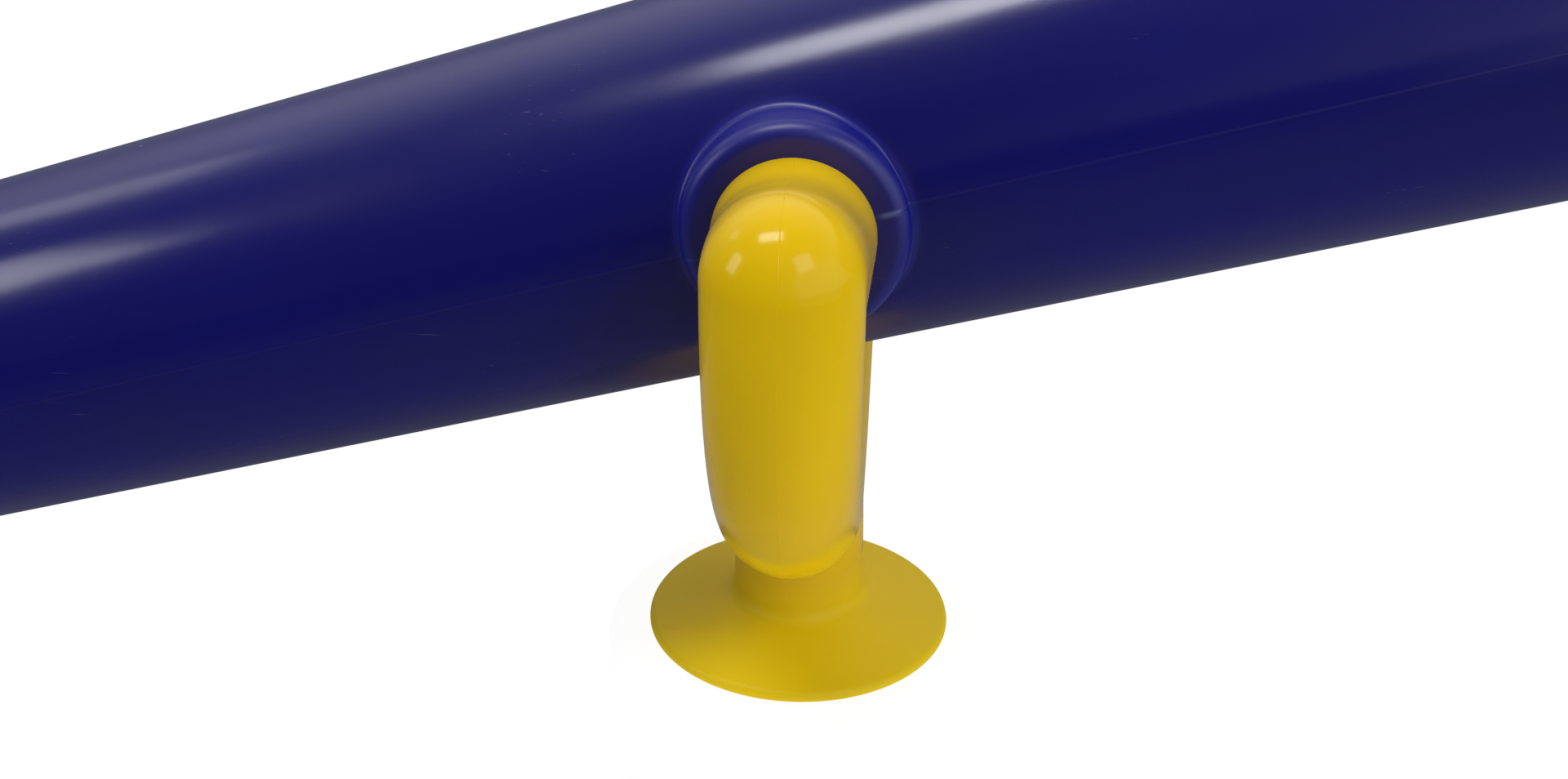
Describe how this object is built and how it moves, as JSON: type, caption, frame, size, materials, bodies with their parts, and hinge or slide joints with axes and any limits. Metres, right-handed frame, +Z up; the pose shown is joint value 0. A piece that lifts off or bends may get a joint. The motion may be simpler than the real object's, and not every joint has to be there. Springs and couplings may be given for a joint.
{
  "type": "play telescope",
  "caption": "Play telescope: a tapered barrel that tilts on trunnions in a round-tube yoke, which swivels on a flared foot snapped over a hidden screw-down disc.",
  "frame": {"origin": "centre of the mounting disc's underside, on the rail's top face", "axes": "+X along the barrel towards the objective seen from above, +Y towards the far trunnion, +Z up along the swivel axis"},
  "size_m": [0.6771, 0.2478, 0.315],
  "materials": {
    "blue_plastic": "semi-gloss moulded",
    "yellow_plastic": "semi-gloss moulded",
    "black_plastic": "matt moulded",
    "nylon": "natural nylon",
    "rubber": "matt",
    "steel": "stainless",
    "clear_window": "clear acrylic"
  },
  "bodies": {
    "base": {"mounting_disc": "black_plastic", "swivel_bush": "nylon"},
    "yoke": {"yoke": "yellow_plastic", "right_trunnion_clip": "steel", "left_trunnion_clip": "steel"},
    "barrel": {"barrel": "blue_plastic", "right_trunnion_bush": "nylon", "left_trunnion_bush": "nylon", "right_tilt_washer": "rubber", "left_tilt_washer": "rubber", "objective_gasket": "rubber", "objective_window": "clear_window", "objective_bezel": "yellow_plastic", "bezel_screws": "steel", "eyepiece_housing": "yellow_plastic", "eyepiece_gasket": "rubber", "eyepiece_lens": "clear_window", "lens_retaining_ring": "black_plastic", "eyepiece_screws": "steel", "eyecup": "rubber"}
  },
  "joints": [
    {"name": "yoke_swivel", "type": "hinge", "parent": "base", "child": "yoke", "pos_m": [0, 0, 0], "axis": [0, 0, 1], "continuous": true},
    {"name": "barrel_tilt", "type": "hinge", "parent": "yoke", "child": "barrel", "pos_m": [0, 0, 0.16225], "axis": [0, -1, 0], "range_deg": [-54, 23.5]}
  ]
}
